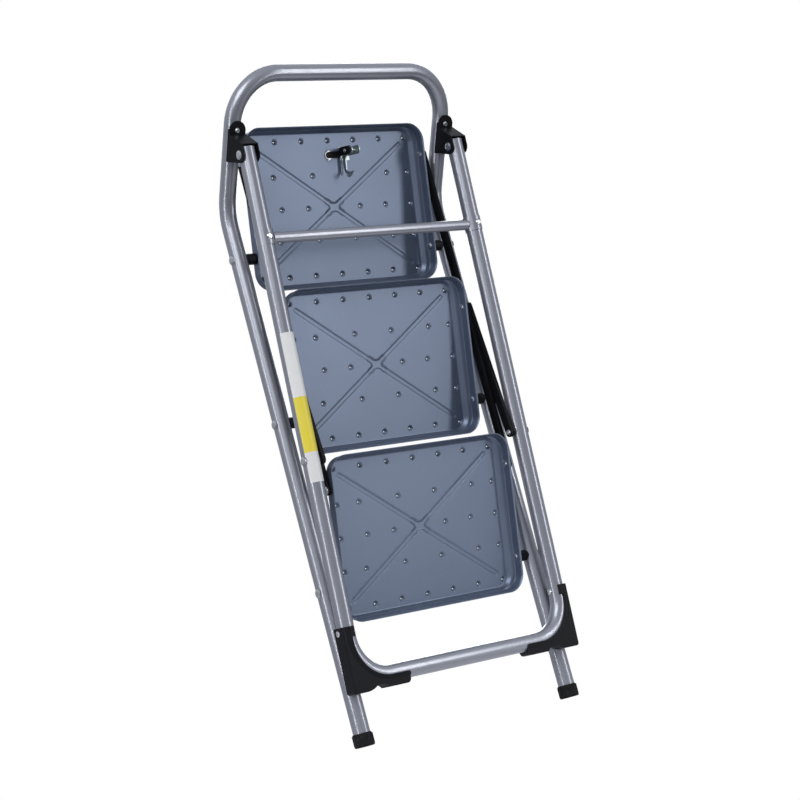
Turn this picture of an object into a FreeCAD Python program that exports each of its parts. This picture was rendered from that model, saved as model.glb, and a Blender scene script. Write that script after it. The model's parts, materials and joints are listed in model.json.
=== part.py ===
"""Folding three-step platform ladder, folded flat.

Units are millimetres. +Z is up along the straight front legs, +Y points to the rear (the side of the
rear support frame) and X runs across the ladder. The finished parts have their origin on the floor under
the middle of the folded ladder. While drawing, y is counted from the axis of the front legs. Left means
+X, which is the left hand of someone standing behind the ladder.
"""

import FreeCAD, Part

import math
import os

V = FreeCAD.Vector
X_AXIS = V(1, 0, 0)
Y_AXIS = V(0, 1, 0)
Z_AXIS = V(0, 0, 1)
ORIGIN = V(0, 0, 0)

middle_y = 47.83              # middle of the folded ladder, behind the axis of the front legs
ground = -5.5                 # floor under the foot caps, from the level the heights are counted from

# ---------------------------------------------------------------- tubes
tube_radius = 12.5
tube_wall = 1.2
front_half = 195.0            # front leg axis to the middle of the ladder
knee_z = 791.0                # where the front legs bend into the hand hoop
hoop_tilt = 31.7              # degrees, hoop leans to the rear
hoop_length = 203.5           # knee to the axis of the top rail
knee_bend = 90.0
hoop_bend = 73.0

# ---------------------------------------------------------------- rear frame, measured from its hinge
hinge_y = 84.5
hinge_z = 848.0
rear_lean = 4.5               # degrees, feet of the rear frame lie nearer the front legs
rear_length = 764.4           # hinge to the axis of the bottom rail
rear_top = 10.0               # leg stands above the hinge
rear_half_foot = 199.0
rear_bend = 60.0
crossbar_drop = 124.4
crossbar_radius = 8.0
strut_drop = 450.0            # hinge to the strut rivet on the rear leg

# ---------------------------------------------------------------- treads
pivot_z = 218.0
pitch = 250.0
tread_tilt = 13.5             # degrees, folded treads lean to the rear
link_reach = 142.0            # tread pivot to link rivet
sheet = 1.0
tread_middle = 70.0           # centre of the tread from its pivot
tread_top = 14.0              # standing surface from the pivot

# ---------------------------------------------------------------- fasteners and bars
rivet_radius = 4.0
hole_radius = 4.05
small_rivet_radius = 2.4
small_hole_radius = 2.45
head_radius = 6.5
inner_head_radius = 4.6
head_height = 1.5
bar_width = 14.0
bar_depth = 5.0
bar_sheet = 1.5

wall_inner = 165.5            # inner face of the tread side flange
wall_outer = wall_inner + sheet
link_inner = 168.6            # open side of the link channel
link_outer = link_inner + bar_depth
strut_inner = 175.4           # flat side of the strut channel
leg_inner = front_half - tube_radius
leg_outer = front_half + tube_radius

# ---------------------------------------------------------------- latch
latch_s = 152.5               # pin, from the platform pivot
latch_n = 5.5                 # pin, below the pivot plane of the platform
latch_pin_radius = 2.0
grip_reach = 23.9             # pin to the middle of the gripped crossbar, along the hook
grip_side = 1.0               # and across it


def rad(angle):
    return math.radians(angle)


def mirrored(shape):
    return shape.mirror(ORIGIN, X_AXIS)


def save(name, *shapes):
    shape = shapes[0].copy() if len(shapes) == 1 else Part.makeCompound([s.copy() for s in shapes])
    shape.translate(V(0, -middle_y, -ground))
    shape.exportStep(os.path.join("parts", name + ".step"))


def cylinder_x(radius, x0, x1, y, z):
    return Part.makeCylinder(radius, x1 - x0, V(x0, y, z), X_AXIS)


def fused(shapes):
    result = shapes[0].multiFuse(shapes[1:]) if len(shapes) > 1 else shapes[0]
    return result.removeSplitter()


# ---------------------------------------------------------------- bent tubes
def bent_wire(points, radii):
    """Polyline with a round bend at each inner corner."""
    edges = []
    start = points[0]
    for corner, after, radius in zip(points[1:-1], points[2:], radii):
        before_dir = (corner - start).normalize()
        after_dir = (after - corner).normalize()
        half_turn = before_dir.getAngle(after_dir) / 2
        cut = radius * math.tan(half_turn)
        bend_in = corner - before_dir * cut
        bend_out = corner + after_dir * cut
        inward = (after_dir - before_dir).normalize()
        middle = corner + inward * (radius / math.cos(half_turn) - radius)
        edges.append(Part.makeLine(start, bend_in))
        edges.append(Part.Arc(bend_in, middle, bend_out).toShape())
        start = bend_out
    edges.append(Part.makeLine(start, points[-1]))
    return Part.Wire(edges)


def swept(points, radii, radius):
    """Round bar along a bent wire: cylinders for the straights and torus pieces for the bends."""
    pieces = []
    for edge in bent_wire(points, radii).Edges:
        start = edge.valueAt(edge.FirstParameter)
        end = edge.valueAt(edge.LastParameter)
        disc = Part.Face(Part.Wire(Part.makeCircle(radius, start, edge.tangentAt(edge.FirstParameter))))
        if isinstance(edge.Curve, Part.Circle):
            turn = math.degrees(edge.LastParameter - edge.FirstParameter)
            pieces.append(disc.revolve(edge.Curve.Center, edge.Curve.Axis, turn))
        else:
            pieces.append(disc.extrude(end - start))
    return pieces[0].multiFuse(pieces[1:]) if len(pieces) > 1 else pieces[0]


def bent_tube(points, radii, radius, wall):
    return swept(points, radii, radius).cut(swept(points, radii, radius - wall))


# ---------------------------------------------------------------- front frame
def hoop_point(along, behind=0.0, x=0.0):
    """Point on the hoop plane: distance up from the knee and distance behind the tube axis."""
    tilt = rad(hoop_tilt)
    y = along * math.sin(tilt) + behind * math.cos(tilt)
    z = knee_z + along * math.cos(tilt) - behind * math.sin(tilt)
    return V(x, y, z)


cap_floor = 4.0
bracket_rivet_along = 122.9


def front_tube():
    foot = V(front_half, 0, ground + cap_floor)
    left = [foot, V(front_half, 0, knee_z), hoop_point(hoop_length, 0, front_half)]
    right = [V(-p.x, p.y, p.z) for p in reversed(left)]
    tube = bent_tube(left + right, [knee_bend, hoop_bend, hoop_bend, knee_bend], tube_radius, tube_wall)
    holes = []
    for step in range(3):
        z = pivot_z + step * pitch
        holes.append(cylinder_x(hole_radius, -leg_outer - 1, leg_outer + 1, 0, z))
    for side in (-1, 1):
        at = hoop_point(bracket_rivet_along, 0, side * front_half)
        rearward = hoop_point(0, 1) - hoop_point(0, 0)
        holes.append(Part.makeCylinder(small_hole_radius, tube_radius + 2, at, rearward))
    return tube.cut(Part.makeCompound(holes))


cap_height = 19.0
cap_rib_count = 12


def foot_cap():
    """Ribbed push-on cap, open at the top."""
    body = Part.makeCone(14.6, 13.9, cap_height, V(front_half, 0, ground))
    body = body.makeFillet(1.2, [e for e in body.Edges if e.BoundBox.ZMax < ground + 0.1])
    rib = Part.makeCylinder(1.3, cap_height - 4, V(front_half + 13.9, 0, ground + 2.4))
    ribs = []
    for i in range(cap_rib_count):
        turned = rib.copy()
        turned.rotate(V(front_half, 0, 0), Z_AXIS, 360.0 * i / cap_rib_count)
        ribs.append(turned)
    bore = Part.makeCylinder(tube_radius + 0.05, cap_height, V(front_half, 0, ground + cap_floor))
    return fused([body] + ribs).cut(bore)


# ---------------------------------------------------------------- hinge brackets
bracket_inner = 12.8
bracket_sheet = 1.5
bracket_outer = bracket_inner + bracket_sheet
tongue_radius = 14.2
bracket_top = 125.5           # cheeks reach this far along the hoop
bracket_fold = 118.4          # along the hoop, where the tongue folds into the slanted web
lobe_radius = 12.0


def cheek(x0, x1):
    """Side plate of a hinge bracket with the round lobe that carries the hinge rivet."""
    fold = hoop_point(bracket_fold, tube_radius + bracket_sheet)
    rear_top = hoop_point(bracket_top, tube_radius + bracket_sheet)
    front_top = hoop_point(bracket_top, tube_radius - 2)
    front_low = hoop_point(77.7, tube_radius - 2)
    web_low = V(0, hinge_y + 13.0, hinge_z + 12.5)
    lobe_back = V(0, hinge_y + lobe_radius, hinge_z + 1.5)
    lobe_side = V(0, hinge_y + 9.0, hinge_z - 8.0)
    lobe_low = V(0, hinge_y - 2.0, hinge_z - lobe_radius + 0.3)
    edges = [
        Part.makeLine(front_top, front_low),
        Part.makeLine(front_low, lobe_low),
        Part.Arc(lobe_low, lobe_side, lobe_back).toShape(),
        Part.makeLine(lobe_back, web_low),
        Part.makeLine(web_low, fold),
        Part.makeLine(fold, rear_top),
        Part.makeLine(rear_top, front_top),
    ]
    face = Part.Face(Part.Wire(edges))
    face.translate(V(x0, 0, 0))
    return face.extrude(V(x1 - x0, 0, 0))


def hinge_bracket():
    """Pressed channel: tongue on the hoop tube, slanted web and two cheeks."""
    middle = front_half
    outer_top = hoop_point(bracket_fold, tube_radius + bracket_sheet)
    outer_low = V(0, hinge_y + 13.0, hinge_z + 12.5)
    slope = (outer_low - outer_top).normalize()
    inward = V(0, slope.z, -slope.y) * bracket_sheet
    section = [outer_top, outer_low, outer_low + inward, outer_top + inward, outer_top]
    web = Part.Face(Part.makePolygon(section))
    web.translate(V(middle - bracket_outer, 0, 0))
    web = web.extrude(V(2 * bracket_outer, 0, 0))
    seat = hoop_point(bracket_rivet_along, tube_radius, middle)
    out = hoop_point(0, 1) - hoop_point(0, 0)
    disc = Part.makeCylinder(tongue_radius, bracket_sheet, seat, out)
    low = hoop_point(bracket_fold - 1.0, tube_radius, middle - tongue_radius)
    along = hoop_point(1) - hoop_point(0)
    neck = Part.makeBox(2 * tongue_radius, bracket_rivet_along - bracket_fold + 1.0, bracket_sheet)
    neck.Placement = FreeCAD.Placement(low, FreeCAD.Rotation(X_AXIS, along, out, "XYZ"))
    cheeks = [cheek(middle + side * bracket_inner, middle + side * bracket_outer) for side in (-1, 1)]
    body = fused([web, disc, neck] + cheeks)
    hoop = swept([V(middle, 0, knee_z - 200), V(middle, 0, knee_z), hoop_point(hoop_length, 0, middle)],
                 [knee_bend], tube_radius)
    hinge_hole = cylinder_x(hole_radius, middle - 20, middle + 20, hinge_y, hinge_z)
    rivet_hole = Part.makeCylinder(small_hole_radius, 8, seat - out * 3, out)
    return body.cut(Part.makeCompound([hoop, hinge_hole, rivet_hole]))


def bracket_rivet():
    """Blind rivet: domed head with a hollow core, shank through tongue and tube wall."""
    out = hoop_point(0, 1) - hoop_point(0, 0)
    surface = hoop_point(bracket_rivet_along, tube_radius + bracket_sheet, front_half)
    shank = Part.makeCylinder(small_rivet_radius, bracket_sheet + tube_wall + 2, surface, out * -1)
    head = Part.makeCone(4.2, 2.8, 1.5, surface, out)
    core = Part.makeCylinder(1.2, 9, surface - out * 7, out)
    return fused([shank, head]).cut(core)


# ---------------------------------------------------------------- rivets across the ladder
def rivet_head(x, y, z, outward, radius=head_radius):
    """Low domed head; outward is +1 or -1 along X."""
    base = Part.makeCylinder(radius, head_height * 0.35, V(x, y, z), X_AXIS * outward)
    x_dome = x + outward * head_height * 0.35
    dome = Part.makeCone(radius, radius * 0.55, head_height * 0.65, V(x_dome, y, z), X_AXIS * outward)
    return base.fuse(dome)


def rivet(x0, x1, y, z, shank=rivet_radius, inner_head=inner_head_radius, outer_head=head_radius):
    """Rivet whose heads bear on the faces x0 and x1."""
    body = cylinder_x(shank, x0 - 0.2, x1 + 0.2, y, z)
    return fused([body, rivet_head(x0, y, z, -1, inner_head), rivet_head(x1, y, z, 1, outer_head)])


def collar(x0, x1, y, z, outer, inner=hole_radius):
    return cylinder_x(outer, x0, x1, y, z).cut(cylinder_x(inner, x0 - 1, x1 + 1, y, z))


def tread_pivots():
    return [rivet(wall_inner - 0.1, leg_outer, 0, pivot_z + step * pitch) for step in range(3)]


spacer_radius = 8.3


def pivot_spacers():
    """Plastic spacers between tread flange and leg, hollowed to sit on the round tube."""
    spacers = []
    leg = Part.makeCylinder(tube_radius + 0.02, knee_z, V(front_half, 0, 0))
    for step in range(3):
        z = pivot_z + step * pitch
        spacers.append(collar(wall_outer + 0.1, leg_inner + 3.5, 0, z, spacer_radius).cut(leg))
    return spacers


# ---------------------------------------------------------------- rear frame
rear_place = FreeCAD.Placement(V(0, hinge_y, hinge_z), FreeCAD.Rotation(X_AXIS, -rear_lean))


def in_rear(shape):
    """Moves a shape drawn with the hinge at the origin and legs straight down into its folded place."""
    moved = shape.copy()
    moved.Placement = rear_place.multiply(moved.Placement)
    return moved


def rear_leg_x(drop):
    return front_half + (rear_half_foot - front_half) * drop / rear_length


def rear_path():
    left = [V(rear_leg_x(-rear_top), 0, rear_top), V(rear_half_foot, 0, -rear_length)]
    right = [V(-p.x, p.y, p.z) for p in reversed(left)]
    return left + right


shoe_rivet_drop = 697.0


def rear_tube():
    tube = bent_tube(rear_path(), [rear_bend, rear_bend], tube_radius, tube_wall)
    holes = [cylinder_x(hole_radius, -220, 220, 0, -drop) for drop in (0.0, strut_drop)]
    holes.append(cylinder_x(small_hole_radius, -220, 220, 0, -shoe_rivet_drop))
    for side in (-1, 1):
        at = V(side * rear_leg_x(crossbar_drop), 0, -crossbar_drop)
        holes.append(Part.makeCylinder(small_hole_radius, tube_radius + 2, at, Y_AXIS))
    return in_rear(tube.cut(Part.makeCompound(holes)))


saddle_sheet = 1.4
saddle_height = 22.0
saddle_wrap = 120.0           # degrees each way round from the inner side of the leg


def along_leg(shape):
    """Moves a shape drawn round +Z at the origin onto the left leg where the crossbar meets it."""
    splay = math.degrees(math.atan((rear_half_foot - front_half) / rear_length))
    shape.rotate(V(0, 0, 0), Y_AXIS, -splay)
    shape.translate(V(rear_leg_x(crossbar_drop), 0, -crossbar_drop))
    return shape


def saddle():
    """Curved end of the crossbar that hugs the inner side of the left leg."""
    base = V(0, 0, -saddle_height / 2)
    inner = tube_radius + 0.03
    ring = Part.makeCylinder(inner + saddle_sheet, saddle_height, base, Z_AXIS, 2 * saddle_wrap)
    ring = ring.cut(Part.makeCylinder(inner, saddle_height, base))
    ring.rotate(base, Z_AXIS, 180.0 - saddle_wrap)
    return along_leg(ring)


def crossbar():
    reach = rear_leg_x(crossbar_drop) - tube_radius - 0.6
    bar = cylinder_x(crossbar_radius, -reach, reach, 0, -crossbar_drop)
    bore = cylinder_x(crossbar_radius - 1.2, -reach + 4, reach - 4, 0, -crossbar_drop)
    body = fused([bar, saddle(), mirrored(saddle())])
    leg = along_leg(Part.makeCylinder(tube_radius + 0.03, 60, V(0, 0, -30)))
    hole = Part.makeCylinder(small_hole_radius, tube_radius + 5, V(0, 0, 0), Y_AXIS)
    hole.translate(V(rear_leg_x(crossbar_drop), 0, -crossbar_drop))
    cuts = [bore, leg, mirrored(leg), hole, mirrored(hole)]
    return in_rear(body.cut(Part.makeCompound(cuts)))


def crossbar_rivet():
    at = V(rear_leg_x(crossbar_drop), tube_radius + saddle_sheet, -crossbar_drop)
    head = Part.makeCone(4.8, 3.0, 1.6, at + Y_AXIS * 0.05, Y_AXIS)
    shank_length = saddle_sheet + tube_wall + 2.3
    shank = Part.makeCylinder(small_rivet_radius, shank_length, at + Y_AXIS * 0.3, Y_AXIS * -1)
    return in_rear(fused([shank, head]))


shoe_outer = 213.4
shoe_inner = 186.05           # inner side of the leg at the shoe rivet
shoe_clip = 193.6             # the band stops here and leaves the inner side of the leg bare
shoe_half = 10.5              # half thickness of the corner block
shoe_wrap = 14.3              # radius of the moulding round the tube
shoe_top = -689.2
shoe_band = -704.2            # lower edge of the band that closes round the leg
shoe_floor = -784.0
shoe_arm_end = 111.5
shoe_arm_top = -766.5


def shoe_outline():
    """Side of the shoe: straight outside, curved along the bend inside, notched under the tube."""
    rail_x = 139.0
    notch = shoe_floor + 6.0
    pad = shoe_floor + 0.6
    return [
        Part.makeLine(V(shoe_outer, 0, shoe_top), V(rear_half_foot, 0, shoe_top)),
        Part.makeLine(V(rear_half_foot, 0, shoe_top), V(rear_half_foot, 0, shoe_band)),
        Part.Arc(V(rear_half_foot, 0, shoe_band), V(184.0, 0, -748.6), V(rail_x, 0, shoe_arm_top)).toShape(),
        Part.makeLine(V(rail_x, 0, shoe_arm_top), V(shoe_arm_end + 4.0, 0, shoe_arm_top)),
        Part.Arc(V(shoe_arm_end + 4.0, 0, shoe_arm_top), V(shoe_arm_end + 1.2, 0, shoe_arm_top - 1.2),
                 V(shoe_arm_end, 0, shoe_arm_top - 4.0)).toShape(),
        Part.makeLine(V(shoe_arm_end, 0, shoe_arm_top - 4.0), V(shoe_arm_end, 0, pad + 7.0)),
        Part.Arc(V(shoe_arm_end, 0, pad + 7.0), V(shoe_arm_end + 2.05, 0, pad + 2.05),
                 V(shoe_arm_end + 7.0, 0, pad)).toShape(),
        Part.makeLine(V(shoe_arm_end + 7.0, 0, pad), V(151.0, 0, pad)),
        Part.Arc(V(151.0, 0, pad), V(155.0, 0, notch - 1.4), V(160.0, 0, notch)).toShape(),
        Part.makeLine(V(160.0, 0, notch), V(172.0, 0, notch)),
        Part.Arc(V(172.0, 0, notch), V(179.0, 0, shoe_floor + 2.2), V(188.0, 0, shoe_floor)).toShape(),
        Part.makeLine(V(188.0, 0, shoe_floor), V(shoe_outer - 4.0, 0, shoe_floor)),
        Part.Arc(V(shoe_outer - 4.0, 0, shoe_floor), V(shoe_outer - 1.2, 0, shoe_floor + 1.2),
                 V(shoe_outer, 0, shoe_floor + 4.0)).toShape(),
        Part.makeLine(V(shoe_outer, 0, shoe_floor + 4.0), V(shoe_outer, 0, shoe_top)),
    ]


def corner_shoe():
    """Moulded square corner that clips on the bend of the rear frame and stands on the floor."""
    side = Part.Face(Part.Wire(shoe_outline()))
    side.translate(V(0, -40, 0))
    reach = side.extrude(V(0, 80, 0))
    slab = Part.makeBox(300, 2 * shoe_half, 200, V(0, -shoe_half, shoe_floor - 10))
    block = reach.common(slab)
    flat = [e for e in block.Edges if e.BoundBox.YLength < 0.01]
    rims = [e for e in flat if abs(abs(e.BoundBox.YMin) - shoe_half) < 0.01]
    block = block.makeFillet(3.0, [e for e in rims if e.BoundBox.XMin > shoe_outer - 0.1])
    wrap = swept(rear_path(), [rear_bend, rear_bend], shoe_wrap)
    band_box = Part.makeBox(60, 60, shoe_top - shoe_band, V(shoe_clip, -30, shoe_band))
    body = fused([block, wrap.common(reach), wrap.common(band_box)])
    tube = swept(rear_path(), [rear_bend, rear_bend], tube_radius + 0.02)
    rivet_hole = cylinder_x(small_hole_radius, 180, 215, 0, -shoe_rivet_drop)
    placed = in_rear(body.cut(Part.makeCompound([tube, rivet_hole])))
    front_leg = Part.makeCylinder(tube_radius + 0.6, 400, V(front_half, 0, 0))
    return placed.cut(front_leg)


def shoe_rivet():
    return in_rear(rivet(shoe_inner, shoe_outer, 0, -shoe_rivet_drop, small_rivet_radius, 4.2, 4.2))


def strut_pin():
    """Rivet and sleeve that hold the strut off the inner side of the rear leg."""
    outer = rear_leg_x(strut_drop) + tube_radius + 0.06
    return in_rear(rivet(strut_inner - 0.1, outer, 0, -strut_drop))


def strut_sleeve():
    x = rear_leg_x(strut_drop)
    sleeve = collar(strut_inner + bar_sheet + 0.1, x - tube_radius + 2, 0, -strut_drop, 5.2)
    leg = Part.makeCylinder(tube_radius + 0.1, 40, V(x, 0, -strut_drop - 20))
    return in_rear(sleeve.cut(leg))


label_wrap = 150.0            # degrees of the tube covered by the label
label_top = 265.0
label_middle = 98.0           # turned from +X round the leg to the middle of the label, degrees
label_length = 217.0


def label():
    """Blank adhesive label round the rear of the left rear leg."""
    inner = tube_radius + 0.02
    base = V(rear_leg_x(label_top + label_length / 2), 0, -label_top - label_length)
    ring = Part.makeCylinder(inner + 0.25, label_length, base, Z_AXIS, label_wrap)
    ring = ring.cut(Part.makeCylinder(inner, label_length, base))
    ring.rotate(base, Z_AXIS, label_middle - label_wrap / 2)
    splay = math.degrees(math.atan((rear_half_foot - front_half) / rear_length))
    ring.rotate(V(base.x, 0, -label_top - label_length / 2), Y_AXIS, -splay)
    window = cylinder_x(head_radius + 1.2, 150, 230, 0, -strut_drop)
    return in_rear(ring.cut(window))


# ---------------------------------------------------------------- treads
dimple_rows = {
    101.0: (-147, -98, -49, 0, 49, 98, 147),
    48.5: (-147, -107, -34.5, 34.5, 107, 147),
    0.0: (-147, -98, -49, 49, 98, 147),
    -48.5: (-147, -107, -34.5, 34.5, 107, 147),
    -101.0: (-147, -98, -49, 0, 49, 98, 147),
}
rib_end = (137.0, 91.0)
rib_half_width = 4.0
rib_rise = 1.2

# height above the pivot plane, half width, half depth and corner radius of the tread's outer skin
tread_skin = (
    (-11.0, 168.0, 120.5, 28.0),
    (-9.6, 168.0, 120.5, 28.0),
    (-8.4, 166.5, 119.2, 27.0),
    (5.0, 166.5, 118.2, 26.0),
    (6.8, 161.8, 116.6, 24.0),
    (12.0, 157.6, 114.6, 21.0),
    (13.4, 155.8, 113.2, 20.0),
    (14.0, 152.5, 110.5, 18.0),
)


def rounded_rectangle(half_x, half_s, radius, w):
    """Closed wire of four sides and four corner arcs, centred on the tread."""
    edges = []
    corners = ((1, 1), (-1, 1), (-1, -1), (1, -1))
    slant = radius * (1 - math.sqrt(0.5))
    points = []
    for sx, ss in corners:
        side = V(sx * half_x, ss * (half_s - radius), 0)
        end = V(sx * (half_x - radius), ss * half_s, 0)
        middle = V(sx * (half_x - slant), ss * (half_s - slant), 0)
        points.append((side, middle, end) if sx * ss > 0 else (end, middle, side))
    shift = V(0, tread_middle, w)
    for i in range(4):
        first, middle, last = (p + shift for p in points[i])
        following = points[(i + 1) % 4][0] + shift
        edges.append(Part.Arc(first, middle, last).toShape())
        edges.append(Part.makeLine(last, following))
    return Part.Wire(edges)


def skin_solid(inset):
    """Solid bounded by the tread's skin, moved inwards by the inset."""
    wires = []
    for w, half_x, half_s, radius in tread_skin:
        level = w - inset if w > 12 else w
        wires.append(rounded_rectangle(half_x - inset, half_s - inset, radius - inset, level))
    if inset > 0:
        w, half_x, half_s, radius = tread_skin[0]
        wires[0] = rounded_rectangle(half_x - inset, half_s - inset, radius - inset, w - 1)
    return Part.makeLoft(wires, True, True)


def rib_cross(half_width, w0, w1):
    """The two crossing ribs pressed into the standing surface."""
    bars = []
    for sign in (-1, 1):
        start = V(-rib_end[0] * sign, tread_middle - rib_end[1], w0)
        end = V(rib_end[0] * sign, tread_middle + rib_end[1], w0)
        along = (end - start).normalize()
        across = V(-along.y, along.x, 0) * half_width
        edges = [
            Part.makeLine(start + across, end + across),
            Part.Arc(end + across, end + along * half_width, end - across).toShape(),
            Part.makeLine(end - across, start - across),
            Part.Arc(start - across, start - along * half_width, start + across).toShape(),
        ]
        bars.append(Part.Face(Part.Wire(edges)).extrude(V(0, 0, w1 - w0)))
    return bars


def tread_pan():
    """Pressed sheet tread lying flat, pivot on the X axis, standing surface up."""
    pan = skin_solid(0.0).cut(skin_solid(sheet))
    raised = rib_cross(rib_half_width, tread_top - 0.5, tread_top + rib_rise)
    hollow = rib_cross(rib_half_width - 1.0, tread_top - sheet - 1, tread_top - sheet + rib_rise)
    for row, places in dimple_rows.items():
        for x in places:
            at = V(x, tread_middle + row, tread_top - 0.5)
            raised.append(Part.makeCone(4.3, 2.5, 2.9, at))
            hollow.append(Part.makeCone(3.4, 1.3, 4.4, at - V(0, 0, 0.9)))
    pan = pan.fuse(Part.makeCompound(raised)).cut(Part.makeCompound(hollow))
    for s in (0.0, link_reach):
        pan = pan.cut(cylinder_x(hole_radius, -wall_outer - 3, wall_outer + 3, s, 0))
    return pan


def tread_place(step):
    """Folded place of a tread, counted from the bottom."""
    turn = FreeCAD.Rotation(X_AXIS, 90.0 - tread_tilt)
    return FreeCAD.Placement(V(0, 0, pivot_z + step * pitch), turn)


def on_tread(shape, step):
    moved = shape.copy()
    moved.Placement = tread_place(step).multiply(moved.Placement)
    return moved


def link_rivet(step):
    return on_tread(rivet(wall_inner, link_outer + 0.1, link_reach, 0), step)


def link_washer(step):
    """Short sleeve inside the link channel that keeps it off the tread flange."""
    return on_tread(collar(wall_outer, link_outer - bar_sheet - 0.1, link_reach, 0, 5.2), step)


# ---------------------------------------------------------------- link bars and struts
def channel(length, x_flat, x_open, stops):
    """Pressed channel bar with round ends, first hole at the origin, running down to -length."""
    half = bar_width / 2

    def stadium(half_width, x0, x1):
        top = V(x0, 0, 0)
        low = V(x0, 0, -length)
        across = V(0, half_width, 0)
        edges = [
            Part.Arc(top - across, top + V(0, 0, half_width), top + across).toShape(),
            Part.makeLine(top + across, low + across),
            Part.Arc(low + across, low - V(0, 0, half_width), low - across).toShape(),
            Part.makeLine(low - across, top - across),
        ]
        return Part.Face(Part.Wire(edges)).extrude(V(x1 - x0, 0, 0))

    direction = 1 if x_open > x_flat else -1
    body = stadium(half, x_flat, x_open)
    pocket = stadium(half - bar_sheet, x_flat + direction * bar_sheet, x_open + direction)
    holes = [cylinder_x(hole_radius, x_flat - 8, x_flat + 8, 0, -stop) for stop in stops]
    return body.cut(Part.makeCompound([pocket] + holes))


def link_point(step):
    return tread_place(step).multVec(V(0, link_reach, 0))


def link_bar():
    bar = channel(2 * pitch, link_outer, link_inner, (0.0, pitch, 2 * pitch))
    bar.translate(link_point(2))
    return bar


def strut_point():
    return rear_place.multVec(V(0, 0, -strut_drop))


def strut_bar():
    top = link_point(1)
    low = strut_point()
    span = low - top
    bar = channel(span.Length, strut_inner, strut_inner + bar_depth + 0.5, (0.0, span.Length))
    bar.rotate(ORIGIN, X_AXIS, math.degrees(math.atan2(span.y, -span.z)))
    bar.translate(top)
    return bar


def strut_stud():
    """Upper stud of the strut: flush with the flat side, domed on the channel side."""
    top = link_point(1)
    shank = cylinder_x(rivet_radius, strut_inner + 0.1, strut_inner + bar_sheet + 0.2, top.y, top.z)
    return fused([shank, rivet_head(strut_inner + bar_sheet, top.y, top.z, 1, 5.2)])


# ---------------------------------------------------------------- platform latch, drawn with the tread flat
slot_middle_x = -14.5
slot_s = 148.6
slot_half_length = 21.5
slot_half_width = 5.6
ear_sheet = 1.5
ear_half_width = 6.5
ear_drop = 20.9               # ears reach this far below the pivot plane and rest on the crossbar
face_underside = tread_top - sheet - 0.02

# layers along the pin, as X of their two faces
lever_layer = (-18.6, -16.8)
near_ear = (-20.2, -18.8)
spring_x = -21.0
hook_layer = (-23.6, -21.8)
far_ear = (-34.0, -32.5)
spring_wire = 0.6


def oval(half_length, half_width, w0, w1):
    straight = half_length - half_width
    across = V(0, half_width, 0)
    left = V(slot_middle_x + straight, slot_s, w0)
    right = V(slot_middle_x - straight, slot_s, w0)
    edges = [
        Part.makeLine(right + across, left + across),
        Part.Arc(left + across, left + V(half_width, 0, 0), left - across).toShape(),
        Part.makeLine(left - across, right - across),
        Part.Arc(right - across, right - V(half_width, 0, 0), right + across).toShape(),
    ]
    return Part.Face(Part.Wire(edges)).extrude(V(0, 0, w1 - w0))


def platform_pan():
    slot = oval(slot_half_length, slot_half_width, tread_top - 4, tread_top + 4)
    return on_tread(tread_pan().cut(slot), 2)


def layer(edges, faces):
    """Plate across the pin between two X faces."""
    face = Part.Face(Part.Wire(edges))
    face.translate(V(faces[0], 0, 0))
    return face.extrude(V(faces[1] - faces[0], 0, 0))


def latch_ear(faces):
    """One ear of the latch bracket, round at its lower end."""
    low = -ear_drop + ear_half_width
    s0 = latch_s - ear_half_width
    s1 = latch_s + ear_half_width
    edges = [
        Part.makeLine(V(0, s0, face_underside), V(0, s0, low)),
        Part.Arc(V(0, s0, low), V(0, latch_s, -ear_drop), V(0, s1, low)).toShape(),
        Part.makeLine(V(0, s1, low), V(0, s1, face_underside)),
        Part.makeLine(V(0, s1, face_underside), V(0, s0, face_underside)),
    ]
    return layer(edges, faces)


def latch_bracket():
    """U bracket under the platform: two ears joined by a foot that is spot welded to the sheet."""
    foot_depth = 1.4
    foot_s = (slot_s - slot_half_width - 3.0, slot_s + slot_half_width + 6.0)
    foot_size = (near_ear[1] - far_ear[0] + 3.0, foot_s[1] - foot_s[0])
    foot = Part.makeBox(*foot_size, foot_depth, V(far_ear[0] - 3.0, foot_s[0], face_underside - foot_depth))
    body = fused([latch_ear(near_ear), latch_ear(far_ear), foot])
    pin_hole = cylinder_x(latch_pin_radius + 0.05, far_ear[0] - 1, near_ear[1] + 1, latch_s, -latch_n)
    return on_tread(body.cut(pin_hole), 2)


def latch_pin():
    head_gap = 0.1
    near = lever_layer[1]
    far = far_ear[0] - head_gap
    body = cylinder_x(latch_pin_radius, far - 0.3, near + 0.3, latch_s, -latch_n)
    heads = [rivet_head(far, latch_s, -latch_n, -1, 3.2), rivet_head(near, latch_s, -latch_n, 1, 3.2)]
    return on_tread(fused([body] + heads), 2)


def pin_bore(faces):
    return cylinder_x(latch_pin_radius, faces[0] - 1, faces[1] + 1, latch_s, -latch_n)


def hook_point(reach, side):
    """Point of the hook: reach away from the pin towards its tip, side towards its mouth."""
    return V(0, latch_s - reach, -latch_n - side)


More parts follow.
